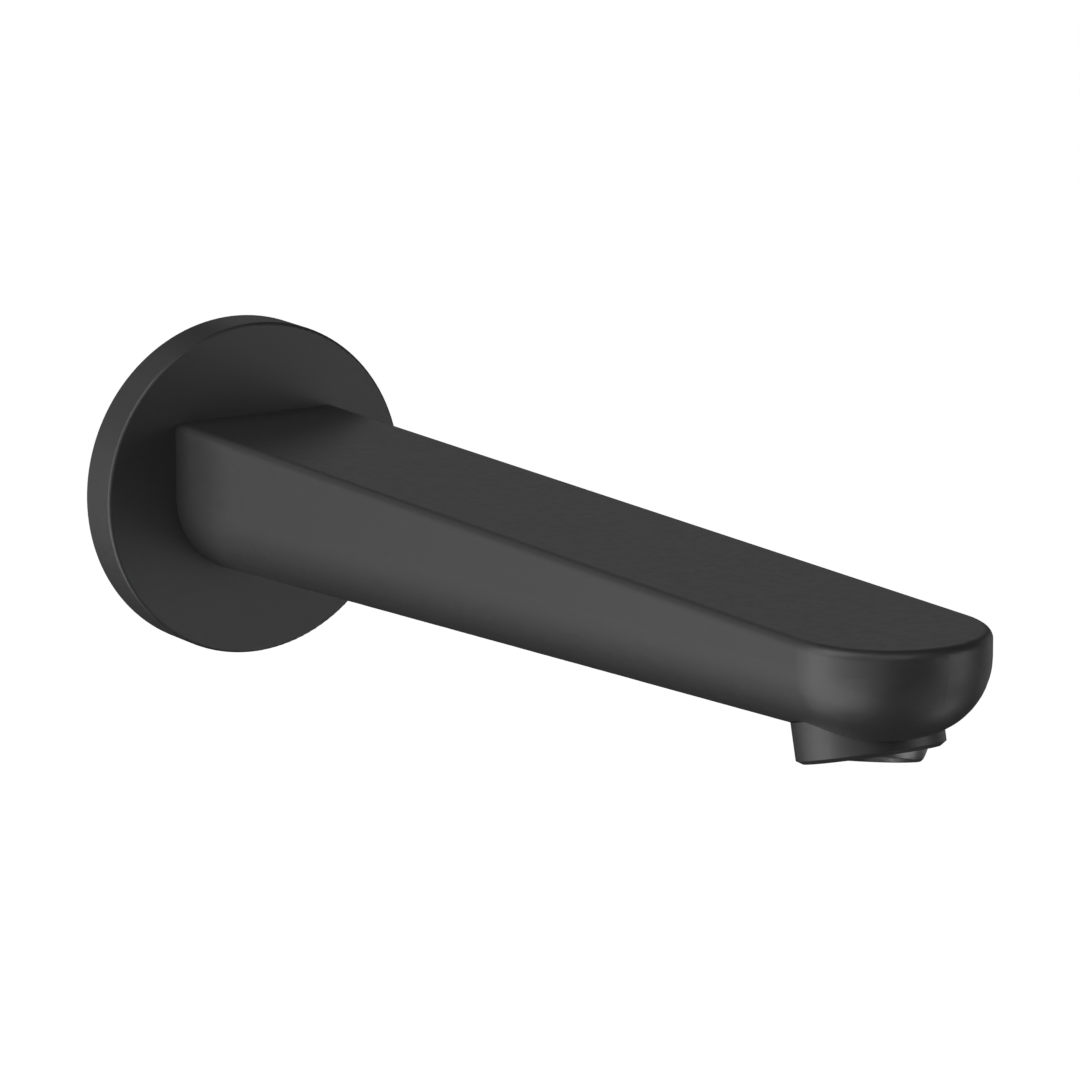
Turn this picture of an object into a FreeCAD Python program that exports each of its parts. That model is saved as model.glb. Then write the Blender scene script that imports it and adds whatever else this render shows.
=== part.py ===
import FreeCAD, Part

import math
import os

# Wall-mounted bath spout: a hollow brass casting on a round wall flange, held on a
# threaded inlet nipple, with a ball-jointed outlet nozzle in a collar near the tip.
# Millimetres. The origin is the centre of the flange's back face, on the wall.
# The spout points to -Y, the wall is at +Y, and +Z is up.

V = FreeCAD.Vector

# Spout body
projection = 200.0
body_half_width = 16.45
top_above_axis = 13.55
height_at_wall = 28.47
height_at_tip = 15.86
top_edge_round = 1.6
low_edge_round_at_wall = 14.6
low_edge_round_at_tip = 12.4
body_wall = 2.8
core_edge_round = 1.0

# Wall flange
flange_diameter = 60.0
flange_depth = 8.1
flange_plate = 3.6
flange_rim_wall = 3.5
flange_edge_round = 0.6
flange_inner_round = 1.5
gasket_width = 1.5
gasket_thickness = 1.2
gasket_inset = 0.9

# Round neck of the body in the flange, with its centring ring
neck_diameter = 25.0
neck_fit = 0.1
neck_ring_section = 1.5
ring_clearance = 0.03

# Inlet nipple: G 1/2 thread, hexagon shoulder, spigot and key hexagon
thread_diameter = 20.96
thread_length = 15.0
thread_chamfer = 1.0
thread_undercut_diameter = 18.2
seal_to_thread = 0.1
nipple_bore = 11.0
shoulder_across_flats = 24.0
shoulder_thickness = 2.5
face_seal_thickness = 1.4
face_seal_fit = 0.1
neck_to_shoulder = 0.4
spigot_diameter = 18.0
spigot_end = 37.0
spigot_end_chamfer = 0.5
spigot_fit = 0.05
key_across_flats = 10.0
key_depth = 9.0
seal_ring_section = 1.78
seal_groove_depth = 1.8
seal_groove_side_play = 0.2
first_seal_at = 28.5
second_seal_at = 33.0
spigot_end_gap = 1.0
waterway_bore = 14.0
core_back_at = 46.0

# Grub screw under the body, in a groove of the spigot
screw_diameter = 6.0
screw_length = 5.0
screw_at = 19.0
screw_key_across_flats = 3.0
screw_key_depth = 2.6
screw_chamfer = 0.75
screw_fit = 0.05
screw_tip_play = 0.05
screw_groove_depth = 0.8
screw_groove_width = 7.0

# Outlet collar, leaning towards the tip
collar_back_from_tip_centre = 3.18
collar_stand = 3.87
collar_tilt = 15.0
collar_wall = 1.02
collar_chamfer_width = 1.0
collar_chamfer_height = 0.65
collar_block_length = 12.6
shoulder_lip = 1.2

# Screwed-in outlet housing with its ball seat
housing_wall = 0.9
housing_fit = 0.05
housing_recess = 0.4
ball_radius = 9.65
ball_running_gap = 0.1
pivot_depth = 4.0
swivel_angle = 12.0
swivel_heading = 84.3
swivel_limit = 15.0
washer_thickness = 1.0
washer_width = 1.85

# Ball nozzle and what it holds
nozzle_below_pivot = 4.58
nozzle_above_pivot = 3.0
nozzle_edge = 0.35
nozzle_lip = 0.8
nozzle_lip_width = 0.8
nozzle_wall = 2.45
insert_fit = 0.05
grid_thickness = 2.0
grid_cell = 1.5
grid_web = 0.42
grid_border = 0.7
grid_first_corner_at = 30.0
screen_thickness = 0.35
spacer_thickness = 1.2
insert_ring_width = 1.0
retainer_thickness = 1.2

# Ball ring, splitter plate, flow regulator and strainer above the ball
ball_ring_bottom = 6.2
plate_above_swing = 0.23
plate_thickness = 1.2
plate_rim_height = 0.7
plate_rim_width = 0.75
plate_holes = 10
plate_hole_diameter = 1.2
plate_hole_circle = 12.4
regulator_thickness = 1.2
regulator_ring_circle = 6.8
regulator_ring_section = 1.4
regulator_recess = 0.8
regulator_slots = 6
regulator_slot_diameter = 1.0
strainer_fit = 0.3
strainer_wall = 0.5
strainer_height = 1.7
strainer_flange_width = 1.2
strainer_holes = 8
strainer_hole_diameter = 1.6
strainer_hole_circle = 9.6

# Worked-out places
tip_centre_y = -projection
tip_end_y = tip_centre_y - body_half_width
floor_at_wall = top_above_axis - height_at_wall
floor_at_tip = top_above_axis - height_at_tip
floor_slope = (floor_at_tip - floor_at_wall) / tip_end_y
body_back_y = -flange_depth
neck_end_y = body_back_y + flange_plate
shoulder_front_y = neck_end_y + neck_to_shoulder
shoulder_back_y = shoulder_front_y + shoulder_thickness
face_seal_back_y = shoulder_back_y + face_seal_thickness
thread_start_y = face_seal_back_y + seal_to_thread
thread_end_y = thread_length
spigot_radius = spigot_diameter / 2
spigot_bore_radius = spigot_radius + spigot_fit
seat_radius = ball_radius + ball_running_gap
housing_radius = seat_radius + housing_wall
washer_inner_radius = housing_radius - washer_width
collar_bore = 2 * (housing_radius + housing_fit)
collar_diameter = collar_bore + 2 * collar_wall
nozzle_top_radius = math.sqrt(ball_radius**2 - nozzle_above_pivot**2)
swing = math.radians(swivel_limit)
swing_height = nozzle_above_pivot * math.cos(swing) + nozzle_top_radius * math.sin(swing)
plate_bottom = pivot_depth + swing_height + plate_above_swing
regulator_bottom = plate_bottom + plate_thickness + plate_rim_height
housing_top = regulator_bottom + regulator_thickness
shoulder_depth = housing_top + washer_thickness
insert_radius = seat_radius - insert_fit
nozzle_bore_radius = ball_radius - nozzle_wall
nozzle_insert_radius = nozzle_bore_radius - insert_fit
nozzle_bottom = pivot_depth - nozzle_below_pivot
grid_bottom = nozzle_bottom + nozzle_lip
MARGIN = 5.0
FAR = 400.0
SAME = 1e-4


def floor_z(y):
    """Height of the body's sloping underside at y."""
    return floor_at_wall + floor_slope * y


outlet_y = tip_centre_y + collar_back_from_tip_centre
outlet_z = floor_z(outlet_y) - collar_stand


def turned(profile):
    """A solid of revolution about Z from (radius, height) points.

    Each step is a point, or (middle point, end point) for an arc through both.
    """
    edges = []
    start = profile[0]
    here = start
    for step in profile[1:] + [start]:
        if isinstance(step[0], tuple):
            middle, end = step
            arc = Part.Arc(V(here[0], 0, here[1]), V(middle[0], 0, middle[1]), V(end[0], 0, end[1]))
            edges.append(arc.toShape())
        else:
            end = step
            edges.append(Part.makeLine(V(here[0], 0, here[1]), V(end[0], 0, end[1])))
        here = end
    face = Part.Face(Part.Wire(edges))
    return face.revolve(V(0, 0, 0), V(0, 0, 1), 360)


def corner_arc(centre, radius, from_angle, to_angle):
    """Arc step of a profile round centre, ending at to_angle, in degrees."""
    middle = math.radians((from_angle + to_angle) / 2)
    end = math.radians(to_angle)
    return (
        (centre[0] + radius * math.cos(middle), centre[1] + radius * math.sin(middle)),
        (centre[0] + radius * math.cos(end), centre[1] + radius * math.sin(end)),
    )


def cylinder(radius, bottom, top):
    return Part.makeCylinder(radius, top - bottom, V(0, 0, bottom))


def ring(outer, inner, bottom, top):
    return cylinder(outer, bottom, top).cut(cylinder(inner, bottom - MARGIN, top + MARGIN))


def hexagon_prism(across_flats, bottom, top, first_corner_at=0.0):
    corner = across_flats / math.sqrt(3)
    points = []
    for side in range(6):
        angle = math.radians(60 * side + first_corner_at)
        points.append(V(corner * math.cos(angle), corner * math.sin(angle), bottom))
    return Part.Face(Part.makePolygon(points + points[:1])).extrude(V(0, 0, top - bottom))


def torus(circle_radius, section, height):
    return Part.makeTorus(circle_radius, section / 2, V(0, 0, height))


def around(shape, count, radius):
    """Copies of a tool shape, drawn on the Z axis, spread round a circle."""
    copies = []
    for number in range(count):
        angle = math.radians(360.0 * number / count)
        copy = shape.copy()
        copy.translate(V(radius * math.cos(angle), radius * math.sin(angle), 0))
        copies.append(copy)
    return copies


def on_wall_axis(shape):
    """Turn a part drawn on Z so that its Z runs into the wall, along +Y."""
    shape = shape.copy()
    shape.rotate(V(0, 0, 0), V(1, 0, 0), -90)
    return shape


def on_outlet_axis(shape):
    """Put a part drawn on Z, with the collar's rim at zero, on the leaning outlet."""
    shape = shape.copy()
    shape.rotate(V(0, 0, 0), V(1, 0, 0), -collar_tilt)
    shape.translate(V(0, outlet_y, outlet_z))
    return shape


def in_swivelled_nozzle(shape):
    """Tilt a part about the ball's centre and put it on the outlet."""
    heading = math.radians(swivel_heading)
    axis = V(math.cos(heading), math.sin(heading), 0)
    shape = shape.copy()
    shape.rotate(V(0, 0, pivot_depth), axis, swivel_angle)
    return on_outlet_axis(shape)


def below_floor(lift):
    """Everything under the sloping underside, raised by lift."""
    near = FAR
    far = -FAR
    points = [
        V(-FAR, near, floor_z(near) + lift),
        V(-FAR, far, floor_z(far) + lift),
        V(-FAR, far, -FAR),
        V(-FAR, near, -FAR),
    ]
    return Part.Face(Part.makePolygon(points + points[:1])).extrude(V(2 * FAR, 0, 0))


def half_tip(half_width, top, lift, top_round, low_round):
    """Right half of the half-round tip, with its top and lower edges rounded."""
    slant = math.sqrt(0.5) * half_width
    start = -height_at_wall
    middle = V(0, tip_centre_y, start)
    side = V(half_width, tip_centre_y, start)
    slanting = V(slant, tip_centre_y - slant, start)
    end = V(0, tip_centre_y - half_width, start)
    arc = Part.Arc(side, slanting, end).toShape()
    outline = Part.Wire([Part.makeLine(middle, side), arc, Part.makeLine(end, middle)])
    tip = Part.Face(outline).extrude(V(0, 0, top - start)).cut(below_floor(lift))

    def outer_edges(height_at):
        found = []
        for edge in tip.Edges:
            level = all(abs(v.Z - height_at(v.Y)) < SAME for v in edge.Vertexes)
            if level and edge.CenterOfMass.x > SAME and edge.BoundBox.YLength > SAME:
                found.append(edge)
        return found

    tip = tip.makeFillet(low_round, outer_edges(lambda y: floor_z(y) + lift))
    return tip.makeFillet(top_round, outer_edges(lambda y: top))


def half_section(y, half_width, top, low, top_round, low_round):
    """Right half of the body's cross-section at y, as a closed wire."""
    flat = half_width - low_round
    slant = math.sqrt(0.5)
    top_flat_end = V(half_width - top_round, y, top)
    round_drop = top_round - slant * top_round
    top_middle = V(half_width - round_drop, y, top - round_drop)
    side_top = V(half_width, y, top - top_round)
    side_low = V(half_width, y, low + low_round)
    low_middle = V(flat + slant * low_round, y, low + low_round - slant * low_round)
    keel_end = V(flat, y, low)
    keel = V(0, y, low)
    crown = V(0, y, top)
    edges = [
        Part.makeLine(crown, top_flat_end),
        Part.Arc(top_flat_end, top_middle, side_top).toShape(),
        Part.makeLine(side_top, side_low),
        Part.Arc(side_low, low_middle, keel_end).toShape(),
        Part.makeLine(keel_end, keel),
        Part.makeLine(keel, crown),
    ]
    return Part.Wire(edges)


def body_form(inset, back_y, top_round):
    """The spout's outer form, or its core when inset by the wall.

    The arm is ruled from the tip's own end face to the section at the back.
    """
    half_width = body_half_width - inset
    top = top_above_axis - inset
    round_at_wall = low_edge_round_at_wall - inset
    round_at_tip = low_edge_round_at_tip - inset
    tip = half_tip(half_width, top, inset, top_round, round_at_tip)
    joint = min(tip.Faces, key=lambda face: face.BoundBox.YLength)
    back = half_section(back_y, half_width, top, floor_z(back_y) + inset, top_round, round_at_wall)
    arm = Part.makeLoft([joint.OuterWire, back], True, True)
    half = arm.fuse(tip)
    return half.fuse(half.mirror(V(0, 0, 0), V(1, 0, 0))).removeSplitter()


def spout_body():
    outer = body_form(0.0, body_back_y, top_edge_round)
    core = body_form(body_wall, -core_back_at, core_edge_round)

    # Solid block in the tip that carries the outlet's thread
    block_top = shoulder_depth + shoulder_lip
    block = Part.makeBox(2 * body_half_width, 2 * projection, block_top + MARGIN)
    block.translate(V(-body_half_width, collar_block_length - 2 * projection, -MARGIN))
    block = on_outlet_axis(block)
    body = outer.cut(core.cut(block))

    collar_radius = collar_diameter / 2
    collar_top = collar_stand + body_wall
    collar = turned([
        (0, 0),
        (collar_radius - collar_chamfer_width, 0),
        (collar_radius, collar_chamfer_height),
        (collar_radius, collar_top),
        (0, collar_top),
    ])
    body = body.fuse(on_outlet_axis(collar))
    thread_bore = cylinder(collar_bore / 2, -MARGIN, shoulder_depth)
    water_inlet = on_outlet_axis(cylinder(washer_inner_radius, shoulder_depth, block_top + MARGIN))
    body = body.cut(on_outlet_axis(thread_bore)).cut(water_inlet.common(core))

    # Neck through the flange, spigot bore, waterway and grub-screw hole
    neck = cylinder(neck_diameter / 2, body_back_y - MARGIN, neck_end_y)
    body = body.fuse(on_wall_axis(neck))
    spigot_bore = cylinder(spigot_bore_radius, -spigot_end - spigot_end_gap, FAR)
    waterway = cylinder(waterway_bore / 2, -core_back_at - body_wall, 0)
    body = body.cut(on_wall_axis(spigot_bore.fuse(waterway)))
    screw_hole = cylinder(screw_diameter / 2 + screw_fit, -height_at_wall, 0)
    screw_hole.translate(V(0, -screw_at, 0))
    return body.cut(screw_hole).removeSplitter()


def wall_flange():
    outer = flange_diameter / 2
    bore = neck_diameter / 2 + neck_fit
    front = -flange_depth
    plate_back = front + flange_plate
    inside = outer - flange_rim_wall
    groove_middle = front + flange_plate / 2
    groove_half = neck_ring_section / 2 + ring_clearance
    groove_radius = neck_diameter / 2 + neck_ring_section + 2 * ring_clearance
    seat_outer = outer - gasket_inset
    seat_inner = seat_outer - gasket_width
    edge = flange_edge_round
    inner = flange_inner_round
    profile = [
        (outer, 0),
        (outer, front + edge),
        corner_arc((outer - edge, front + edge), edge, 0, -90),
        (bore, front),
        (bore, groove_middle - groove_half),
        (groove_radius, groove_middle - groove_half),
        (groove_radius, groove_middle + groove_half),
        (bore, groove_middle + groove_half),
        (bore, plate_back),
        (inside - inner, plate_back),
        corner_arc((inside - inner, plate_back + inner), inner, -90, 0),
        (inside, 0),
        (seat_inner, 0),
        (seat_inner, -gasket_thickness),
        (seat_outer, -gasket_thickness),
        (seat_outer, 0),
    ]
    return on_wall_axis(turned(profile))


def wall_gasket():
    outer = flange_diameter / 2 - gasket_inset
    return on_wall_axis(ring(outer, outer - gasket_width, -gasket_thickness, 0))


def neck_ring():
    inner = neck_diameter / 2 + ring_clearance
    middle = flange_plate / 2 - flange_depth
    half = neck_ring_section / 2
    return on_wall_axis(ring(inner + neck_ring_section, inner, middle - half, middle + half))


def inlet_nipple():
    thread = thread_diameter / 2
    groove_floor = spigot_radius - seal_groove_depth
    groove_half = (seal_ring_section + seal_groove_side_play) / 2
    notch_floor = spigot_radius - screw_groove_depth
    notch_half = screw_groove_width / 2
    bore = nipple_bore / 2
    profile = [
        (bore, thread_end_y),
        (thread - thread_chamfer, thread_end_y),
        (thread, thread_end_y - thread_chamfer),
        (thread, thread_start_y),
        (thread_undercut_diameter / 2, thread_start_y),
        (thread_undercut_diameter / 2, shoulder_back_y),
        (spigot_radius, shoulder_back_y),
        (spigot_radius, -screw_at + notch_half),
        (notch_floor, -screw_at + notch_half - screw_groove_depth),
        (notch_floor, -screw_at - notch_half + screw_groove_depth),
        (spigot_radius, -screw_at - notch_half),
    ]
    for middle in (-first_seal_at, -second_seal_at):
        profile += [
            (spigot_radius, middle + groove_half),
            (groove_floor, middle + groove_half),
            (groove_floor, middle - groove_half),
            (spigot_radius, middle - groove_half),
        ]
    profile += [
        (spigot_radius, -spigot_end + spigot_end_chamfer),
        (spigot_radius - spigot_end_chamfer, -spigot_end),
        (bore, -spigot_end),
    ]
    nipple = turned(profile)
    shoulder = hexagon_prism(shoulder_across_flats, shoulder_front_y, shoulder_back_y)
    key = hexagon_prism(key_across_flats, -spigot_end - MARGIN, key_depth - spigot_end)
    through = cylinder(bore, -FAR, FAR)
    nipple = nipple.fuse(shoulder.cut(through))
    return on_wall_axis(nipple.cut(key).removeSplitter())


def spigot_ring(at):
    circle = spigot_bore_radius - ring_clearance - seal_ring_section / 2
    return on_wall_axis(torus(circle, seal_ring_section, -at))


def face_seal():
    outer = shoulder_across_flats / 2
    inner = thread_diameter / 2 + face_seal_fit
    return on_wall_axis(ring(outer, inner, shoulder_back_y, face_seal_back_y))


def grub_screw():
    radius = screw_diameter / 2
    tip = screw_groove_depth - spigot_radius - screw_tip_play
    bottom = tip - screw_length
    profile = [
        (0, bottom),
        (radius - screw_chamfer, bottom),
        (radius, bottom + screw_chamfer),
        (radius, tip - screw_chamfer),
        (radius - screw_chamfer, tip),
        (0, tip),
    ]
    screw = turned(profile)
    screw = screw.cut(hexagon_prism(screw_key_across_flats, bottom - MARGIN, bottom + screw_key_depth))
    screw.translate(V(0, -screw_at, 0))
    return screw


def outlet_housing():
    lip_drop = pivot_depth - housing_recess
    lip_radius = math.sqrt(seat_radius**2 - lip_drop**2)
    middle = math.asin(lip_drop / seat_radius) / 2
    seat_middle = (seat_radius * math.cos(middle), pivot_depth - seat_radius * math.sin(middle))
    profile = [
        (lip_radius, housing_recess),
        (seat_middle, (seat_radius, pivot_depth)),
        (seat_radius, housing_top),
        (housing_radius, housing_top),
        (housing_radius, housing_recess),
    ]
    return on_outlet_axis(turned(profile))


def housing_washer():
    return on_outlet_axis(ring(housing_radius, washer_inner_radius, housing_top, shoulder_depth))


def ball_ring():
    blank = cylinder(insert_radius, ball_ring_bottom, plate_bottom)
    ball_space = Part.makeSphere(seat_radius, V(0, 0, pivot_depth))
    mouth_radius = math.sqrt(seat_radius**2 - nozzle_above_pivot**2)
    mouth = cylinder(mouth_radius, pivot_depth + nozzle_above_pivot, plate_bottom + MARGIN)
    return on_outlet_axis(blank.cut(ball_space).cut(mouth))


def splitter_plate():
    top = plate_bottom + plate_thickness
    plate = cylinder(insert_radius, plate_bottom, regulator_bottom)
    plate = plate.cut(cylinder(insert_radius - plate_rim_width, top, regulator_bottom + MARGIN))
    drill = cylinder(plate_hole_diameter / 2, plate_bottom - MARGIN, regulator_bottom + MARGIN)
    plate = plate.cut(around(drill, plate_holes, plate_hole_circle / 2))
    return on_outlet_axis(plate)


def flow_regulator():
    disc = cylinder(insert_radius, regulator_bottom, housing_top)
    groove_half = regulator_ring_section / 2 + ring_clearance
    circle = regulator_ring_circle / 2
    groove_floor = housing_top - regulator_recess
    groove = ring(circle + groove_half, circle - groove_half, groove_floor, housing_top + MARGIN)
    drill = cylinder(regulator_slot_diameter / 2, regulator_bottom - MARGIN, housing_top)
    disc = disc.cut(groove).cut(around(drill, regulator_slots, circle))
    return on_outlet_axis(disc)


def regulator_ring():
    height = housing_top - regulator_recess + regulator_ring_section / 2
    return on_outlet_axis(torus(regulator_ring_circle / 2, regulator_ring_section, height))


def inlet_strainer():
    outer = washer_inner_radius - strainer_fit
    dome = outer - strainer_flange_width
    top = housing_top + strainer_height
    shell = cylinder(outer, housing_top, housing_top + strainer_wall)
    shell = shell.fuse(cylinder(dome, housing_top, top))
    shell = shell.cut(cylinder(dome - strainer_wall, housing_top - MARGIN, top - strainer_wall))
    drill = cylinder(strainer_hole_diameter / 2, housing_top, top + MARGIN)
    shell = shell.cut(around(drill, strainer_holes, strainer_hole_circle / 2))
    return on_outlet_axis(shell.removeSplitter())


def swivel_nozzle():
    bottom_radius = math.sqrt(ball_radius**2 - nozzle_below_pivot**2)
    low = pivot_depth - nozzle_below_pivot
    high = pivot_depth + nozzle_above_pivot
    lip = nozzle_bore_radius - nozzle_lip_width
    edge_radius = math.sqrt(ball_radius**2 - (nozzle_below_pivot - nozzle_edge) ** 2)
    profile = [
        (lip, low),
        (bottom_radius - nozzle_edge / 2, low),
        (edge_radius, low + nozzle_edge),
        ((ball_radius, pivot_depth), (nozzle_top_radius, high)),
        (nozzle_bore_radius, high),
        (nozzle_bore_radius, low + nozzle_lip),
        (lip, low + nozzle_lip),
    ]
    return in_swivelled_nozzle(turned(profile))


def outlet_grid():
    top = grid_bottom + grid_thickness
    grid = cylinder(nozzle_insert_radius, grid_bottom, top)
    pitch = grid_cell + grid_web
    reach = nozzle_bore_radius - nozzle_lip_width - grid_border - grid_cell / 2
    rows = int(reach / pitch) + 1
    cell = hexagon_prism(grid_cell, grid_bottom - MARGIN, top + MARGIN, grid_first_corner_at)
    cells = []
    for row in range(-rows, rows + 1):
        for column in range(-rows, rows + 1):
            x = pitch * (column + row / 2)
            y = pitch * row * math.sqrt(3) / 2
            if math.hypot(x, y) <= reach:
                copy = cell.copy()
                copy.translate(V(x, y, 0))
                cells.append(copy)
    return in_swivelled_nozzle(grid.cut(cells))


def screen(bottom):
    return in_swivelled_nozzle(cylinder(nozzle_insert_radius, bottom, bottom + screen_thickness))


def insert_ring(bottom, thickness):
    inner = nozzle_insert_radius - insert_ring_width
    return in_swivelled_nozzle(ring(nozzle_insert_radius, inner, bottom, bottom + thickness))


lower_screen_at = grid_bottom + grid_thickness
spacer_at = lower_screen_at + screen_thickness
upper_screen_at = spacer_at + spacer_thickness
retainer_at = upper_screen_at + screen_thickness

nodes = {
    "spout_body": spout_body(),
    "wall_flange": wall_flange(),
    "wall_gasket": wall_gasket(),
    "neck_ring": neck_ring(),
    "inlet_nipple": inlet_nipple(),
    "spigot_ring_rear": spigot_ring(first_seal_at),
    "spigot_ring_front": spigot_ring(second_seal_at),
    "face_seal": face_seal(),
    "grub_screw": grub_screw(),
    "outlet_housing": outlet_housing(),
    "housing_washer": housing_washer(),
    "ball_ring": ball_ring(),
    "splitter_plate": splitter_plate(),
    "flow_regulator": flow_regulator(),
    "regulator_ring": regulator_ring(),
    "inlet_strainer": inlet_strainer(),
    "swivel_nozzle": swivel_nozzle(),
    "outlet_grid": outlet_grid(),
    "lower_screen": screen(lower_screen_at),
    "screen_spacer": insert_ring(spacer_at, spacer_thickness),
    "upper_screen": screen(upper_screen_at),
    "screen_retainer": insert_ring(retainer_at, retainer_thickness),
}

os.makedirs("parts", exist_ok=True)
for name, shape in nodes.items():
    print(name, len(shape.Solids), "solid", round(shape.Volume, 1), "mm3", "valid", shape.isValid())
    shape.exportStep("parts/" + name + ".step")

pivot = in_swivelled_nozzle(Part.Vertex(V(0, 0, pivot_depth))).Point
heading = math.radians(swivel_heading)
axis_end = on_outlet_axis(Part.Vertex(V(math.cos(heading), math.sin(heading), 0))).Point
axis = axis_end - V(0, outlet_y, outlet_z)
print("swivel pivot", pivot, "axis", axis)
print("swivel range", -swivel_angle - swivel_limit, swivel_limit - swivel_angle)
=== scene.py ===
import math

import bpy
from mathutils import Matrix, Vector


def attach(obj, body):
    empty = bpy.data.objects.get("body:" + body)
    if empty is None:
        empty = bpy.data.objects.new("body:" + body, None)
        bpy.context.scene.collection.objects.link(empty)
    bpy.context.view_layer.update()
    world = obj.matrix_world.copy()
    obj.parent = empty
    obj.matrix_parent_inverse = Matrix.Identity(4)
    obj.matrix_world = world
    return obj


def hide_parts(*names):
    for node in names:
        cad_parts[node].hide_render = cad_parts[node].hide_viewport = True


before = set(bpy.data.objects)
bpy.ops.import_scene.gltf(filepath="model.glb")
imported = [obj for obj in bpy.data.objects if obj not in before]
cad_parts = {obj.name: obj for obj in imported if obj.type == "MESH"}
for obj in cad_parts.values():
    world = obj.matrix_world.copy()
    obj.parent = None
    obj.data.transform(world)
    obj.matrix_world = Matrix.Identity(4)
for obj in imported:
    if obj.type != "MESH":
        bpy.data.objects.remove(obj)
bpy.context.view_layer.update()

# ---------------------------------------------------------------------------
# The studio. The camera stands at the photograph's height and angle. A pale
# floor lies well below the spout, which hangs on a wall. Soft boxes light it
# from all round, and a small one low on the right picks out the nozzle.
# ---------------------------------------------------------------------------
camera_azimuth = math.radians(-32.543)
camera_height = math.radians(12.758)
towards_camera = Vector((
    math.sin(camera_azimuth) * math.cos(camera_height),
    -math.cos(camera_azimuth) * math.cos(camera_height),
    math.sin(camera_height),
))
middle_of_view = Vector((0.000006, -0.101994, 0.008445))
camera_distance = 1.033015
camera_data = bpy.data.cameras.new("camera")
camera_data.sensor_width = 36.0
camera_data.lens = 207.806
camera = bpy.data.objects.new("camera", camera_data)
camera.location = middle_of_view + towards_camera * camera_distance
camera.rotation_mode = "QUATERNION"
camera.rotation_quaternion = (-towards_camera).to_track_quat("-Z", "Y")
bpy.context.scene.collection.objects.link(camera)
bpy.context.scene.camera = camera
bpy.context.scene.view_settings.view_transform = "Standard"

room = bpy.data.worlds.new("studio")
room.use_nodes = True
bpy.context.scene.world = room
room_tree = room.node_tree
room_tree.nodes.clear()
dim_room = room_tree.nodes.new("ShaderNodeBackground")
dim_room.inputs["Color"].default_value = (0.02, 0.02, 0.02, 1.0)
white_room = room_tree.nodes.new("ShaderNodeBackground")
white_room.inputs["Color"].default_value = (1.0, 1.0, 1.0, 1.0)
seen = room_tree.nodes.new("ShaderNodeLightPath")
choose = room_tree.nodes.new("ShaderNodeMixShader")
room_out = room_tree.nodes.new("ShaderNodeOutputWorld")
room_tree.links.new(seen.outputs["Is Camera Ray"], choose.inputs["Fac"])
room_tree.links.new(dim_room.outputs["Background"], choose.inputs[1])
room_tree.links.new(white_room.outputs["Background"], choose.inputs[2])
room_tree.links.new(choose.outputs["Shader"], room_out.inputs["Surface"])

spout_middle = Vector((0.0, -0.1, 0.0))
light_distance = 1.3


def soft_box(name, azimuth, elevation, width, height, power):
    """A soft box that faces the spout's middle, at an azimuth like the camera's."""
    turn = math.radians(azimuth)
    lift = math.radians(elevation)
    towards_light = Vector((
        math.sin(turn) * math.cos(lift),
        -math.cos(turn) * math.cos(lift),
        math.sin(lift),
    ))
    light_data = bpy.data.lights.new(name, "AREA")
    light_data.shape = "RECTANGLE"
    light_data.size = width
    light_data.size_y = height
    light_data.energy = power
    light = bpy.data.objects.new(name, light_data)
    light.location = spout_middle + towards_light * light_distance
    light.rotation_mode = "QUATERNION"
    light.rotation_quaternion = (-towards_light).to_track_quat("-Z", "Y")
    light.visible_camera = False
    bpy.context.scene.collection.objects.link(light)


soft_box("left_back_box", -134.0, -3.0, 0.62, 1.1, 2.1)
soft_box("left_box", -105.0, -2.0, 0.66, 1.1, 7.2)
soft_box("left_middle_box", -75.0, -2.0, 0.66, 1.1, 1.5)
soft_box("left_front_box", -45.0, -2.0, 0.66, 1.1, 1.6)
soft_box("right_front_box", 45.0, -2.0, 0.66, 1.1, 4.6)
soft_box("right_box", 105.0, -2.0, 0.66, 1.1, 1.0)
soft_box("right_back_box", 142.0, 24.0, 0.66, 0.5, 0.44)
soft_box("high_left_box", -100.0, 45.0, 0.9, 0.9, 9.2)
soft_box("high_front_box", -20.0, 45.0, 0.9, 0.9, 3.7)
soft_box("high_back_box", -165.0, 37.0, 0.9, 0.9, 0.68)
soft_box("low_left_back_box", -120.0, -38.0, 0.9, 0.8, 4.4)
soft_box("low_left_box", -75.0, -38.0, 0.9, 0.8, 6.0)
soft_box("low_right_box", 20.0, -38.0, 0.9, 0.8, 1.1)
soft_box("nozzle_box", 60.0, -46.0, 0.3, 0.5, 1.3)

floor_side = 24.0
floor_height = -1.2
bpy.ops.object.select_all(action="DESELECT")
bpy.ops.mesh.primitive_plane_add(size=floor_side, location=(0.0, 0.0, floor_height))
floor = bpy.context.active_object
floor.name = "floor"
floor_paint = bpy.data.materials.new("floor_paint")
floor_paint.use_nodes = True
floor_shader = floor_paint.node_tree.nodes["Principled BSDF"]
floor_shader.inputs["Base Color"].default_value = (0.86, 0.86, 0.86, 1.0)
floor_shader.inputs["Roughness"].default_value = 0.9
floor_shader.inputs["Emission Color"].default_value = (1.0, 1.0, 1.0, 1.0)
floor_shader.inputs["Emission Strength"].default_value = 1.0
floor.data.materials.append(floor_paint)
floor.visible_glossy = False
floor.visible_diffuse = False
floor.visible_shadow = False

# ---------------------------------------------------------------------------
# Spout body, a hollow brass casting. Its matt black coat is a fine powder,
# baked on: it flows to a faint orange peel and carries a finer grain that
# takes the gloss off.
# ---------------------------------------------------------------------------


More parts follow.
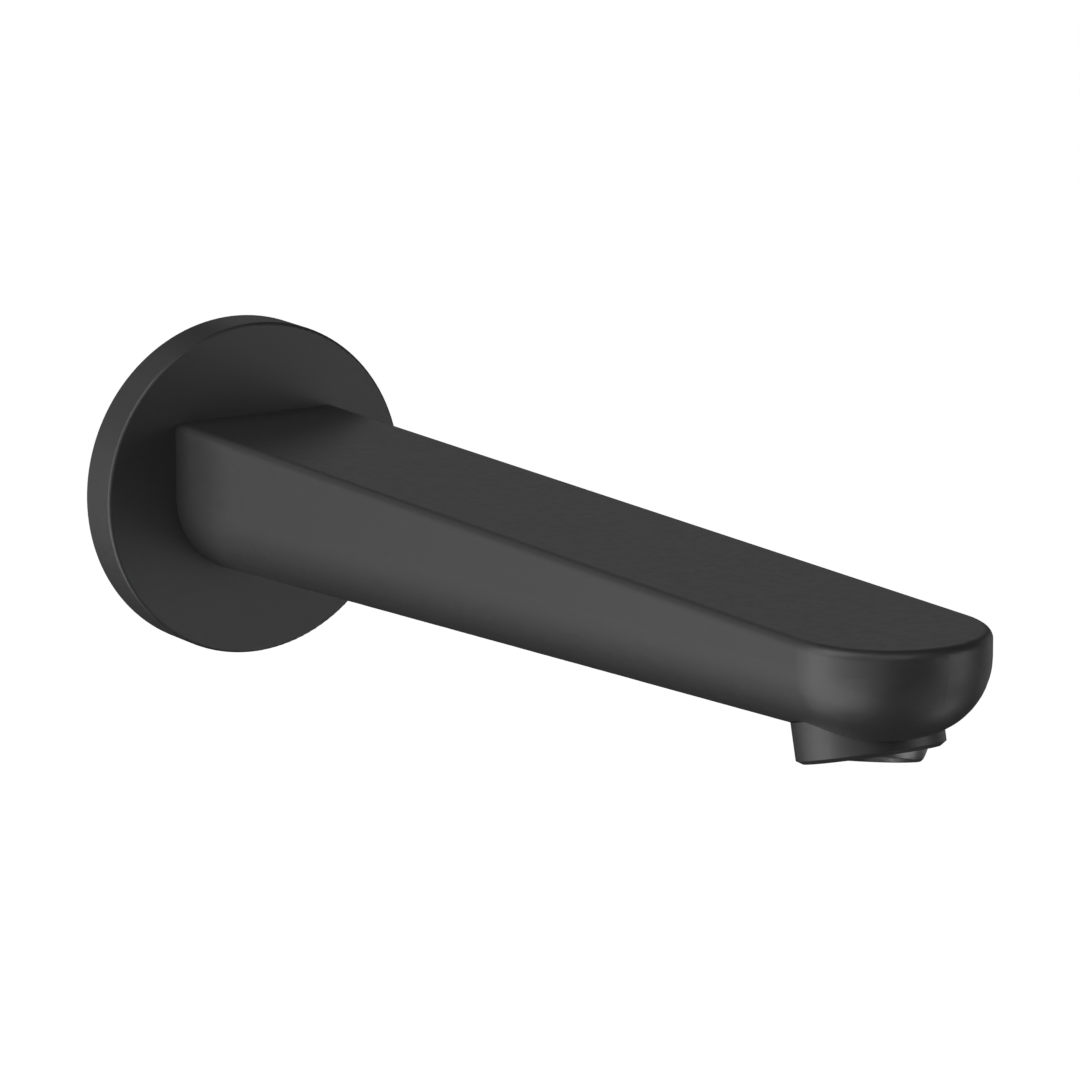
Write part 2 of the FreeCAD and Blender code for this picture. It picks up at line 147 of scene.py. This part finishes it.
def new_group(name, inputs, outputs):
    """An empty node group with named number sockets, and its two end nodes."""
    group = bpy.data.node_groups.new(name, "ShaderNodeTree")
    for socket, value in inputs:
        made = group.interface.new_socket(name=socket, in_out="INPUT", socket_type="NodeSocketFloat")
        made.default_value = value
    for socket in outputs:
        group.interface.new_socket(name=socket, in_out="OUTPUT", socket_type="NodeSocketFloat")
    return group, group.nodes.new("NodeGroupInput"), group.nodes.new("NodeGroupOutput")


def shift_range(tree):
    """A node that spreads a noise's usual 0.3 to 0.7 over 0 to 1."""
    spread = tree.nodes.new("ShaderNodeMapRange")
    spread.inputs["From Min"].default_value = 0.3
    spread.inputs["From Max"].default_value = 0.7
    return spread


# Skin of a coated or moulded piece: a slow peel and a fine grain.
skin, skin_in, skin_out = new_group(
    "skin_grain",
    (("Peel per metre", 700.0), ("Grain per metre", 5200.0), ("Grain share", 0.5)),
    ("Height", "Shift"),
)
skin_place = skin.nodes.new("ShaderNodeTexCoord")
peel = skin.nodes.new("ShaderNodeTexNoise")
peel.inputs["Detail"].default_value = 1.0
grain = skin.nodes.new("ShaderNodeTexNoise")
grain.inputs["Detail"].default_value = 2.0
both = skin.nodes.new("ShaderNodeMix")
peel_shift = shift_range(skin)
skin.links.new(skin_place.outputs["Object"], peel.inputs["Vector"])
skin.links.new(skin_place.outputs["Object"], grain.inputs["Vector"])
skin.links.new(skin_in.outputs["Peel per metre"], peel.inputs["Scale"])
skin.links.new(skin_in.outputs["Grain per metre"], grain.inputs["Scale"])
skin.links.new(skin_in.outputs["Grain share"], both.inputs["Factor"])
skin.links.new(peel.outputs["Fac"], both.inputs["A"])
skin.links.new(grain.outputs["Fac"], both.inputs["B"])
skin.links.new(both.outputs["Result"], skin_out.inputs["Height"])
skin.links.new(peel.outputs["Fac"], peel_shift.inputs["Value"])
skin.links.new(peel_shift.outputs["Result"], skin_out.inputs["Shift"])


def finish(name, colour, roughness, metallic=0.0, specular=0.5):
    """A material with its plain values on the shader, ready for its pattern."""
    material = bpy.data.materials.new(name)
    material.use_nodes = True
    shader = material.node_tree.nodes["Principled BSDF"]
    shader.inputs["Base Color"].default_value = (*colour, 1.0)
    shader.inputs["Roughness"].default_value = roughness
    shader.inputs["Metallic"].default_value = metallic
    shader.inputs["Specular IOR Level"].default_value = specular
    return material


def pattern(material, group, settings, relief, roughness, colours=None):
    """Give a material a group's relief, and let its Shift move roughness and colour."""
    tree = material.node_tree
    shader = tree.nodes["Principled BSDF"]
    effect = tree.nodes.new("ShaderNodeGroup")
    effect.node_tree = group
    for socket, value in settings.items():
        effect.inputs[socket].default_value = value
    bump = tree.nodes.new("ShaderNodeBump")
    bump.inputs["Distance"].default_value = relief
    tree.links.new(effect.outputs["Height"], bump.inputs["Height"])
    tree.links.new(bump.outputs["Normal"], shader.inputs["Normal"])
    gloss = tree.nodes.new("ShaderNodeMapRange")
    gloss.inputs["To Min"].default_value, gloss.inputs["To Max"].default_value = roughness
    tree.links.new(effect.outputs["Shift"], gloss.inputs["Value"])
    tree.links.new(gloss.outputs["Result"], shader.inputs["Roughness"])
    if colours:
        tint = tree.nodes.new("ShaderNodeMix")
        tint.data_type = "RGBA"
        tint.inputs["A"].default_value = (*colours[0], 1.0)
        tint.inputs["B"].default_value = (*colours[1], 1.0)
        tree.links.new(effect.outputs["Shift"], tint.inputs["Factor"])
        tree.links.new(tint.outputs["Result"], shader.inputs["Base Color"])


def finish_nodes(material, *names):
    """Put a material in the slots of CAD nodes."""
    for name in names:
        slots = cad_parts[name].data.materials
        slots.clear()
        slots.append(material)


coat_black = (0.022, 0.022, 0.0225)
coat_tints = ((0.0215, 0.0215, 0.022), (0.0225, 0.0225, 0.023))
matt_black = finish("matt_black_coat", coat_black, 0.45)
pattern(matt_black, skin, {}, 0.000007, (0.43, 0.47), coat_tints)
finish_nodes(matt_black, "spout_body")

# ---------------------------------------------------------------------------
# Wall flange, a turned brass cap round the body's neck that hides the wall
# outlet. Its coat is the body's, with a slightly finer peel.
# ---------------------------------------------------------------------------
flange_coat = finish("flange_coat", coat_black, 0.45)
pattern(flange_coat, skin, {"Peel per metre": 820.0}, 0.0000065, (0.43, 0.47), coat_tints)
finish_nodes(flange_coat, "wall_flange")

# ---------------------------------------------------------------------------
# Wall gasket, a strip of closed-cell foam glued in a step of the flange's
# back edge. Its cut face shows the cells.
# ---------------------------------------------------------------------------
foam, foam_in, foam_out = new_group("foam_cells", (("Cells per metre", 2400.0),), ("Height", "Shift"))
foam_place = foam.nodes.new("ShaderNodeTexCoord")
cells = foam.nodes.new("ShaderNodeTexVoronoi")
foam.links.new(foam_place.outputs["Object"], cells.inputs["Vector"])
foam.links.new(foam_in.outputs["Cells per metre"], cells.inputs["Scale"])
foam.links.new(cells.outputs["Distance"], foam_out.inputs["Height"])
foam.links.new(cells.outputs["Distance"], foam_out.inputs["Shift"])
foam_rubber = finish("foam_rubber", (0.05, 0.05, 0.05), 0.95, specular=0.25)
pattern(foam_rubber, foam, {}, 0.0001, (0.98, 0.88), ((0.02, 0.02, 0.021), (0.075, 0.075, 0.077)))
finish_nodes(foam_rubber, "wall_gasket")

# ---------------------------------------------------------------------------
# Seal rings, moulded in black rubber: the centring ring in the flange, two on
# the nipple's spigot, the ball's ring, the regulator's and the housing washer.
# A thin bloom greys them in patches.
# ---------------------------------------------------------------------------
seal_rubber = finish("seal_rubber", (0.02, 0.02, 0.02), 0.6, specular=0.4)
pattern(seal_rubber, skin, {"Peel per metre": 450.0, "Grain per metre": 9000.0, "Grain share": 0.7},
        0.000012, (0.5, 0.72), ((0.014, 0.014, 0.0145), (0.034, 0.034, 0.035)))
finish_nodes(seal_rubber, "neck_ring", "spigot_ring_rear", "spigot_ring_front", "housing_washer",
             "ball_ring", "regulator_ring")

# ---------------------------------------------------------------------------
# Inlet nipple, turned from hexagon brass bar: a G 1/2 thread for the wall
# outlet, a shoulder with six flats, and a spigot with two ring grooves and a
# groove for the grub screw. A hexagon key turns it from its front end.
# ---------------------------------------------------------------------------
thread_pitch = 0.0018143
thread_crest = 0.0104775
thread_root = 0.0093155
thread_start = -0.0001
thread_end = 0.015
thread_turns = 9
steps_each_turn = 70
spigot_end = -0.037
spigot_radius = 0.009
ring_groove_radius = 0.0072
bore_radius = 0.0055
bar_flats = 0.024
key_flats = 0.010
key_end = -0.028
round_sides = 96
spare = 0.001
weld = 0.000002


def start_piece(name):
    """Name the primitive just added, and open it in edit mode with all of it selected."""
    piece = bpy.context.active_object
    piece.name = name
    bpy.ops.object.transform_apply(location=True, rotation=True, scale=True)
    bpy.ops.object.mode_set(mode="EDIT")
    bpy.ops.mesh.select_all(action="SELECT")
    return piece


def draw_line(name, points):
    """A bent line through points, drawn from one vertex by extruding it."""
    bpy.ops.object.select_all(action="DESELECT")
    bpy.ops.mesh.primitive_plane_add(size=spare)
    piece = start_piece(name)
    bpy.ops.mesh.merge(type="CENTER")
    bpy.ops.transform.translate(value=points[0])
    for here, there in zip(points, points[1:]):
        bpy.ops.mesh.extrude_vertices_move(TRANSFORM_OT_translate={"value": there - here})
    return piece


def tidy_shell():
    """Merge doubles, turn faces outwards and leave edit mode."""
    bpy.ops.mesh.select_all(action="SELECT")
    bpy.ops.mesh.remove_doubles(threshold=weld)
    bpy.ops.mesh.normals_make_consistent(inside=False)
    bpy.ops.object.mode_set(mode="OBJECT")


def turned(name, profile, axis):
    """A solid of revolution from (radius, height) points, round the Y or Z axis."""
    piece = draw_line(name, [Vector((radius, 0.0, 0.0)) + axis * height for radius, height in profile])
    bpy.ops.mesh.select_all(action="SELECT")
    bpy.ops.mesh.spin(steps=round_sides, angle=math.tau, center=(0.0, 0.0, 0.0), axis=axis)
    tidy_shell()
    return piece


def hexagon_bar(name, across_flats, low, high):
    """A hexagon prism along Y with corners at the left and right."""
    bpy.ops.object.select_all(action="DESELECT")
    bpy.ops.mesh.primitive_cylinder_add(
        vertices=6, radius=across_flats / math.sqrt(3.0), depth=high - low,
        location=(0.0, (low + high) / 2.0, 0.0), rotation=(math.pi / 2.0, 0.0, 0.0),
    )
    piece = start_piece(name)
    bpy.ops.transform.rotate(value=math.pi / 6.0, orient_axis="Y", center_override=(0.0, 0.0, 0.0))
    tidy_shell()
    return piece


def combine(piece, tool, operation):
    """Add, cut or keep what two solids share, and take the tool away."""
    bpy.ops.object.select_all(action="DESELECT")
    piece.select_set(True)
    bpy.context.view_layer.objects.active = piece
    join = piece.modifiers.new("join", "BOOLEAN")
    join.operation = operation
    join.solver = "EXACT"
    join.object = tool
    bpy.ops.object.modifier_apply(modifier="join")
    bpy.data.objects.remove(tool)


inlet_axis = Vector((0.0, 1.0, 0.0))
inlet_nipple = turned("inlet_nipple_turned", [
    (0.0, spigot_end), (0.0085, spigot_end), (spigot_radius, -0.0365),
    (spigot_radius, -0.03399), (ring_groove_radius, -0.03399),
    (ring_groove_radius, -0.03201), (spigot_radius, -0.03201),
    (spigot_radius, -0.02949), (ring_groove_radius, -0.02949),
    (ring_groove_radius, -0.02751), (spigot_radius, -0.02751),
    (spigot_radius, -0.0225), (0.0082, -0.0217), (0.0082, -0.0163), (spigot_radius, -0.0155),
    (spigot_radius, -0.0041), (0.0116, -0.0041), (0.0141, -0.0027), (0.0141, -0.0023), (0.0132, -0.0016),
    (0.0091, -0.0016), (0.0091, thread_start), (0.00945, thread_start), (thread_crest, 0.00093),
    (thread_crest, thread_end - 0.001), (0.00948, thread_end), (0.0, thread_end),
], inlet_axis)
hexagon_stock = hexagon_bar("hexagon_stock", bar_flats, spigot_end - spare, thread_end + spare)
combine(inlet_nipple, hexagon_stock, "INTERSECT")

# The thread's groove as the die cuts it: its profile, screwed up the bar. Each
# point is a radius and a share of the pitch from the groove's middle.
flank = (thread_crest - thread_root) / 6.0
groove_half = [
    (thread_root, 0.05), (thread_root + flank, 0.14), (thread_crest - flank, 0.36),
    (thread_crest, 0.43), (thread_crest + flank, 0.46),
]
groove_profile = [(radius, -share) for radius, share in reversed(groove_half)] + groove_half
first_groove = thread_start + 0.45 * thread_pitch
thread_groove = draw_line("thread_groove", [
    Vector((radius, first_groove + share * thread_pitch, 0.0)) for radius, share in groove_profile
])
bpy.ops.mesh.select_all(action="SELECT")
bpy.ops.mesh.edge_face_add()
bpy.ops.object.mode_set(mode="OBJECT")
winding = thread_groove.modifiers.new("winding", "SCREW")
winding.axis = "Y"
winding.screw_offset = thread_pitch
winding.iterations = thread_turns
winding.steps = steps_each_turn
winding.render_steps = steps_each_turn
bpy.ops.object.modifier_apply(modifier="winding")
bpy.ops.object.mode_set(mode="EDIT")
bpy.ops.mesh.select_all(action="SELECT")
bpy.ops.mesh.fill_holes(sides=0)
tidy_shell()
combine(inlet_nipple, thread_groove, "DIFFERENCE")

# The bore with its chamfer at the wall end, and the socket for the key.
combine(inlet_nipple, turned("nipple_bore", [
    (0.0, spigot_end - spare), (bore_radius, spigot_end - spare), (bore_radius, 0.0146), (0.0065, 0.0156),
    (0.0, 0.0156),
], inlet_axis), "DIFFERENCE")
combine(inlet_nipple, hexagon_bar("nipple_key", key_flats, spigot_end - spare, key_end), "DIFFERENCE")
bpy.ops.object.shade_smooth_by_angle(angle=math.radians(28.0))

# Tool marks: fine lines across one axis, the finest where its number is high.
marks, marks_in, marks_out = new_group(
    "tool_marks",
    (("X per metre", 60.0), ("Y per metre", 60.0), ("Z per metre", 60.0), ("Stain per metre", 220.0)),
    ("Height", "Shift"),
)
marks_place = marks.nodes.new("ShaderNodeTexCoord")
lines_per_metre = marks.nodes.new("ShaderNodeCombineXYZ")
stretched = marks.nodes.new("ShaderNodeVectorMath")
stretched.operation = "MULTIPLY"
lines = marks.nodes.new("ShaderNodeTexNoise")
lines.inputs["Scale"].default_value = 1.0
lines.inputs["Detail"].default_value = 3.0
stain = marks.nodes.new("ShaderNodeTexNoise")
stain.inputs["Detail"].default_value = 3.0
stain_shift = shift_range(marks)
for letter in "XYZ":
    marks.links.new(marks_in.outputs[letter + " per metre"], lines_per_metre.inputs[letter])
marks.links.new(marks_place.outputs["Object"], stretched.inputs[0])
marks.links.new(lines_per_metre.outputs["Vector"], stretched.inputs[1])
marks.links.new(stretched.outputs["Vector"], lines.inputs["Vector"])
marks.links.new(marks_place.outputs["Object"], stain.inputs["Vector"])
marks.links.new(marks_in.outputs["Stain per metre"], stain.inputs["Scale"])
marks.links.new(lines.outputs["Fac"], marks_out.inputs["Height"])
marks.links.new(stain.outputs["Fac"], stain_shift.inputs["Value"])
marks.links.new(stain_shift.outputs["Result"], marks_out.inputs["Shift"])

bare_brass = finish("bare_brass", (0.74, 0.57, 0.30), 0.3, metallic=1.0)
pattern(bare_brass, marks, {"Y per metre": 5200.0}, 0.000014, (0.24, 0.4),
        ((0.66, 0.47, 0.21), (0.80, 0.62, 0.34)))
inlet_nipple.data.materials.clear()
inlet_nipple.data.materials.append(bare_brass)
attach(inlet_nipple, "spout")
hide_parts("inlet_nipple")

# ---------------------------------------------------------------------------
# Face seal, a washer of pressed fibre between the nipple's shoulder and the
# wall outlet. Its fibres lie flat in all directions.
# ---------------------------------------------------------------------------
fibre_seal = finish("fibre_seal", (0.32, 0.10, 0.07), 0.8, specular=0.3)
fibres = {"X per metre": 900.0, "Y per metre": 4000.0, "Z per metre": 2200.0, "Stain per metre": 900.0}
pattern(fibre_seal, marks, fibres, 0.00005, (0.7, 0.9), ((0.22, 0.06, 0.045), (0.40, 0.15, 0.10)))
finish_nodes(fibre_seal, "face_seal")

# ---------------------------------------------------------------------------
# Grub screw, stainless steel, M6 with a hexagon socket. It comes up through
# the body's underside and bears in the spigot's groove.
# ---------------------------------------------------------------------------
stainless_steel = finish("stainless_steel", (0.62, 0.62, 0.61), 0.3, metallic=1.0)
pattern(stainless_steel, marks, {"Z per metre": 6500.0, "Stain per metre": 600.0}, 0.000008, (0.22, 0.38),
        ((0.55, 0.55, 0.54), (0.66, 0.66, 0.65)))
finish_nodes(stainless_steel, "grub_screw")

# ---------------------------------------------------------------------------
# Outlet housing and grid, moulded in dark plastic: the screwed-in seat of the
# ball, and the honeycomb at the nozzle's mouth.
# ---------------------------------------------------------------------------
dark_plastic = finish("dark_plastic", (0.03, 0.03, 0.031), 0.42)
pattern(dark_plastic, skin, {"Peel per metre": 380.0, "Grain per metre": 7600.0, "Grain share": 0.6},
        0.000008, (0.36, 0.48), ((0.028, 0.028, 0.029), (0.034, 0.034, 0.035)))
finish_nodes(dark_plastic, "outlet_housing", "outlet_grid")

# ---------------------------------------------------------------------------
# Splitter plate, flow regulator, strainer, spacer and retainer, moulded in
# white plastic with the satin of a spark-worn mould.
# ---------------------------------------------------------------------------
white_plastic = finish("white_plastic", (0.80, 0.80, 0.77), 0.4)
pattern(white_plastic, skin, {"Peel per metre": 300.0, "Grain per metre": 6000.0, "Grain share": 0.7},
        0.00001, (0.34, 0.46), ((0.77, 0.77, 0.73), (0.83, 0.83, 0.80)))
finish_nodes(white_plastic, "splitter_plate", "flow_regulator", "inlet_strainer", "screen_spacer",
             "screen_retainer")

# ---------------------------------------------------------------------------
# Swivel nozzle, a cut-off ball moulded in plastic and plated in half-gloss
# black, so that it slips easily in its rubber ring.
# ---------------------------------------------------------------------------
nozzle_black = finish("nozzle_black", (0.24, 0.24, 0.244), 0.36, metallic=1.0)
pattern(nozzle_black, marks, {"Z per metre": 2600.0, "Stain per metre": 350.0}, 0.0000015, (0.33, 0.39),
        ((0.23, 0.23, 0.234), (0.25, 0.25, 0.254)))
finish_nodes(nozzle_black, "swivel_nozzle")

# ---------------------------------------------------------------------------
# Two aerator screens, woven from stainless wire in plain weave, each crimped
# in a flat rim and held between grid, spacer and retainer.
# ---------------------------------------------------------------------------
wire_pitch = 0.00055
wire_thickness = 0.000165
wire_wave = 0.00009
screen_radius = 0.00715
rim_width = 0.0004
screen_depth = 0.00035
wires_each_side = 12
wire_reach = screen_radius - rim_width / 2.0
smooth_wire = math.radians(50.0)

# The screens lie square to the nozzle, which is swung in its leaning collar.
collar_lean = math.radians(-15.0)
swing = math.radians(12.0)
swing_heading = math.radians(84.3)
swing_axis = Vector((math.cos(swing_heading), math.sin(swing_heading), 0.0))
outlet_place = Matrix.Translation((0.0, -0.19682, -0.0073236)) @ Matrix.Rotation(collar_lean, 4, "X")
ball_centre = Matrix.Translation((0.0, 0.0, 0.004))
swung = ball_centre @ Matrix.Rotation(swing, 4, swing_axis) @ ball_centre.inverted()
nozzle_place = outlet_place @ swung

# One wire, drawn out step by step along its wave, two steps to each crossing.
wire_steps = 4 * (wires_each_side + 3)
wire_start = -wire_steps / 4.0 * wire_pitch
bpy.ops.object.select_all(action="DESELECT")
bpy.ops.mesh.primitive_circle_add(
    vertices=6, radius=wire_thickness / 2.0, fill_type="NGON",
    location=(wire_start, 0.0, wire_wave), rotation=(0.0, math.pi / 2.0, 0.0),
)
wire = start_piece("screen_wire")
heights = [wire_wave * math.cos(math.pi * step / 2.0) for step in range(wire_steps + 1)]
for here, there in zip(heights, heights[1:]):
    bpy.ops.mesh.extrude_region_move(TRANSFORM_OT_translate={"value": (wire_pitch / 2.0, 0.0, there - here)})
tidy_shell()


def lay_wire(row, turn):
    """A copy of the wire in its row, cut off under the rim, then turned with its layer."""
    laid = wire.copy()
    laid.data = wire.data.copy()
    bpy.context.scene.collection.objects.link(laid)
    side = row * wire_pitch
    half_chord = math.sqrt(wire_reach**2 - side**2)
    bpy.ops.object.select_all(action="DESELECT")
    laid.select_set(True)
    bpy.context.view_layer.objects.active = laid
    bpy.ops.object.mode_set(mode="EDIT")
    bpy.ops.mesh.select_all(action="SELECT")
    first_step = (row + (1 if turn else 0)) % 2
    bpy.ops.transform.translate(value=(first_step * wire_pitch, side, 0.0))
    for end in (-1.0, 1.0):
        bpy.ops.mesh.select_all(action="SELECT")
        bpy.ops.mesh.bisect(plane_co=(end * half_chord, 0.0, 0.0), plane_no=(end, 0.0, 0.0),
                            use_fill=True, clear_outer=True)
    bpy.ops.mesh.select_all(action="SELECT")
    if turn:
        bpy.ops.transform.rotate(value=math.pi / 2.0, orient_axis="Z", center_override=(0.0, 0.0, 0.0))
    bpy.ops.object.mode_set(mode="OBJECT")
    return laid


rows = range(-wires_each_side, wires_each_side + 1)
layers = [lay_wire(row, turn) for turn in (False, True) for row in rows]
bpy.data.objects.remove(wire)

# The flat rim takes the wires' ends, and both screens are copies of this one.
rim_inner = screen_radius - rim_width
rim_half = screen_depth / 2.0
rim_round = 0.00006
rim_profile = [
    (rim_inner, -rim_half + rim_round), (rim_inner + rim_round, -rim_half),
    (screen_radius - rim_round, -rim_half), (screen_radius, -rim_half + rim_round),
    (screen_radius, rim_half - rim_round), (screen_radius - rim_round, rim_half),
    (rim_inner + rim_round, rim_half), (rim_inner, rim_half - rim_round),
]
woven_screen = turned("woven_screen", rim_profile + rim_profile[:1], Vector((0.0, 0.0, 1.0)))
bpy.ops.object.select_all(action="DESELECT")
for laid in layers:
    laid.select_set(True)
woven_screen.select_set(True)
bpy.context.view_layer.objects.active = woven_screen
bpy.ops.object.join()
bpy.ops.object.shade_smooth_by_angle(angle=smooth_wire)
woven_screen.data.materials.clear()
woven_screen.data.materials.append(stainless_steel)
for node, bottom in (("lower_screen", 0.00222), ("upper_screen", 0.00377)):
    screen = woven_screen.copy()
    screen.data = woven_screen.data.copy()
    screen.name = node + "_woven"
    bpy.context.scene.collection.objects.link(screen)
    screen.matrix_world = nozzle_place @ Matrix.Translation((0.0, 0.0, bottom + rim_half))
    bpy.ops.object.select_all(action="DESELECT")
    screen.select_set(True)
    bpy.context.view_layer.objects.active = screen
    bpy.ops.object.transform_apply(location=True, rotation=True, scale=True)
    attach(screen, "nozzle")
    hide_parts(node)
bpy.data.objects.remove(woven_screen)
